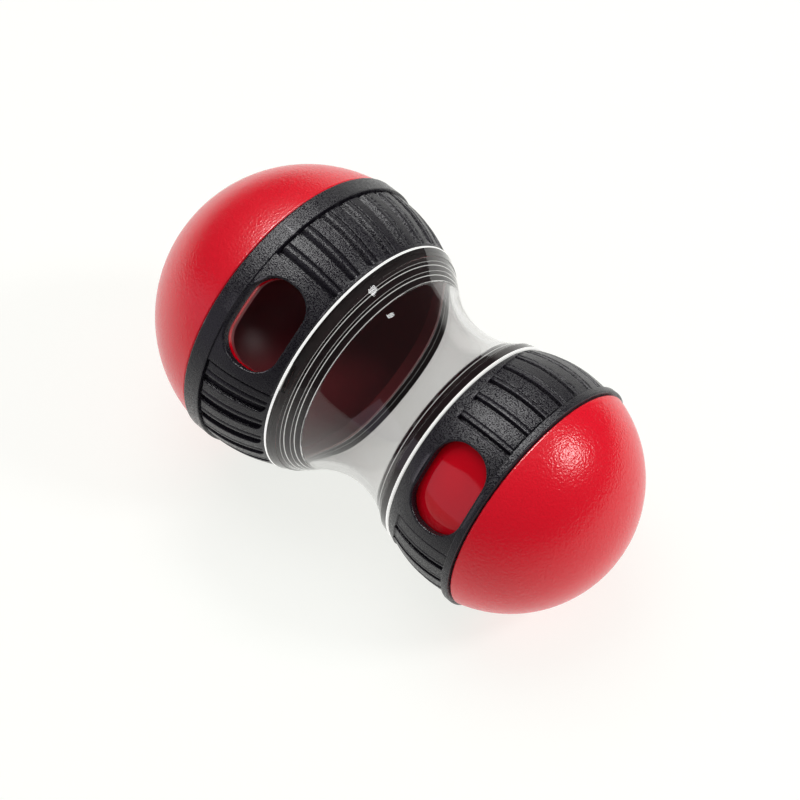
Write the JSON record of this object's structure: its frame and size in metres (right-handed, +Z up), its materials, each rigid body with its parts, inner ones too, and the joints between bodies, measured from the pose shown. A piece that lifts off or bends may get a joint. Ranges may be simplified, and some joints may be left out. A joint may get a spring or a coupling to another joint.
{
  "type": "rolling treat dispenser",
  "caption": "Hourglass-shaped rolling treat dispenser for pets: clear waisted body between two red ball ends, each with an outlet window and a ribbed black turning band.",
  "frame": {"origin": "middle of the overall box, on the surface that the object lies on", "axes": "+Z up as it lies on both ends; +X from the big ball end towards the small one; the outlets are turned towards -Y. The turning axis tips 5.03 degrees down towards +X."},
  "size_m": [0.1622, 0.0904, 0.0905],
  "materials": {
    "red_grained": "satin moulded plastic with a fine leathery grain",
    "red_gloss": "polished moulded plastic",
    "black_matte": "matte moulded plastic with a fine speckled grain",
    "clear_gloss": "clear polished plastic"
  },
  "bodies": {
    "clear": {"clear_body": "clear_gloss"},
    "big_end": {"big_dome": "red_grained", "big_sleeve": "red_gloss"},
    "big_adjuster": {"big_band": "black_matte"},
    "small_end": {"small_dome": "red_grained", "small_sleeve": "red_gloss"},
    "small_adjuster": {"small_band": "black_matte"}
  },
  "joints": [
    {"name": "big_unlock", "type": "hinge", "parent": "clear", "child": "big_end", "pos_m": [-0.0361, 0, 0.04503], "axis": [0.9961, 0, -0.0877], "range_deg": [-28, 0]},
    {"name": "big_outlet", "type": "hinge", "parent": "big_end", "child": "big_adjuster", "pos_m": [-0.0361, 0, 0.04503], "axis": [0.9961, 0, -0.0877], "range_deg": [0, 40.2]},
    {"name": "small_unlock", "type": "hinge", "parent": "clear", "child": "small_end", "pos_m": [0.0431, 0, 0.03805], "axis": [0.9961, 0, -0.0877], "range_deg": [0, 28]},
    {"name": "small_outlet", "type": "hinge", "parent": "small_end", "child": "small_adjuster", "pos_m": [0.0431, 0, 0.03805], "axis": [0.9961, 0, -0.0877], "range_deg": [0, 47.6]}
  ]
}
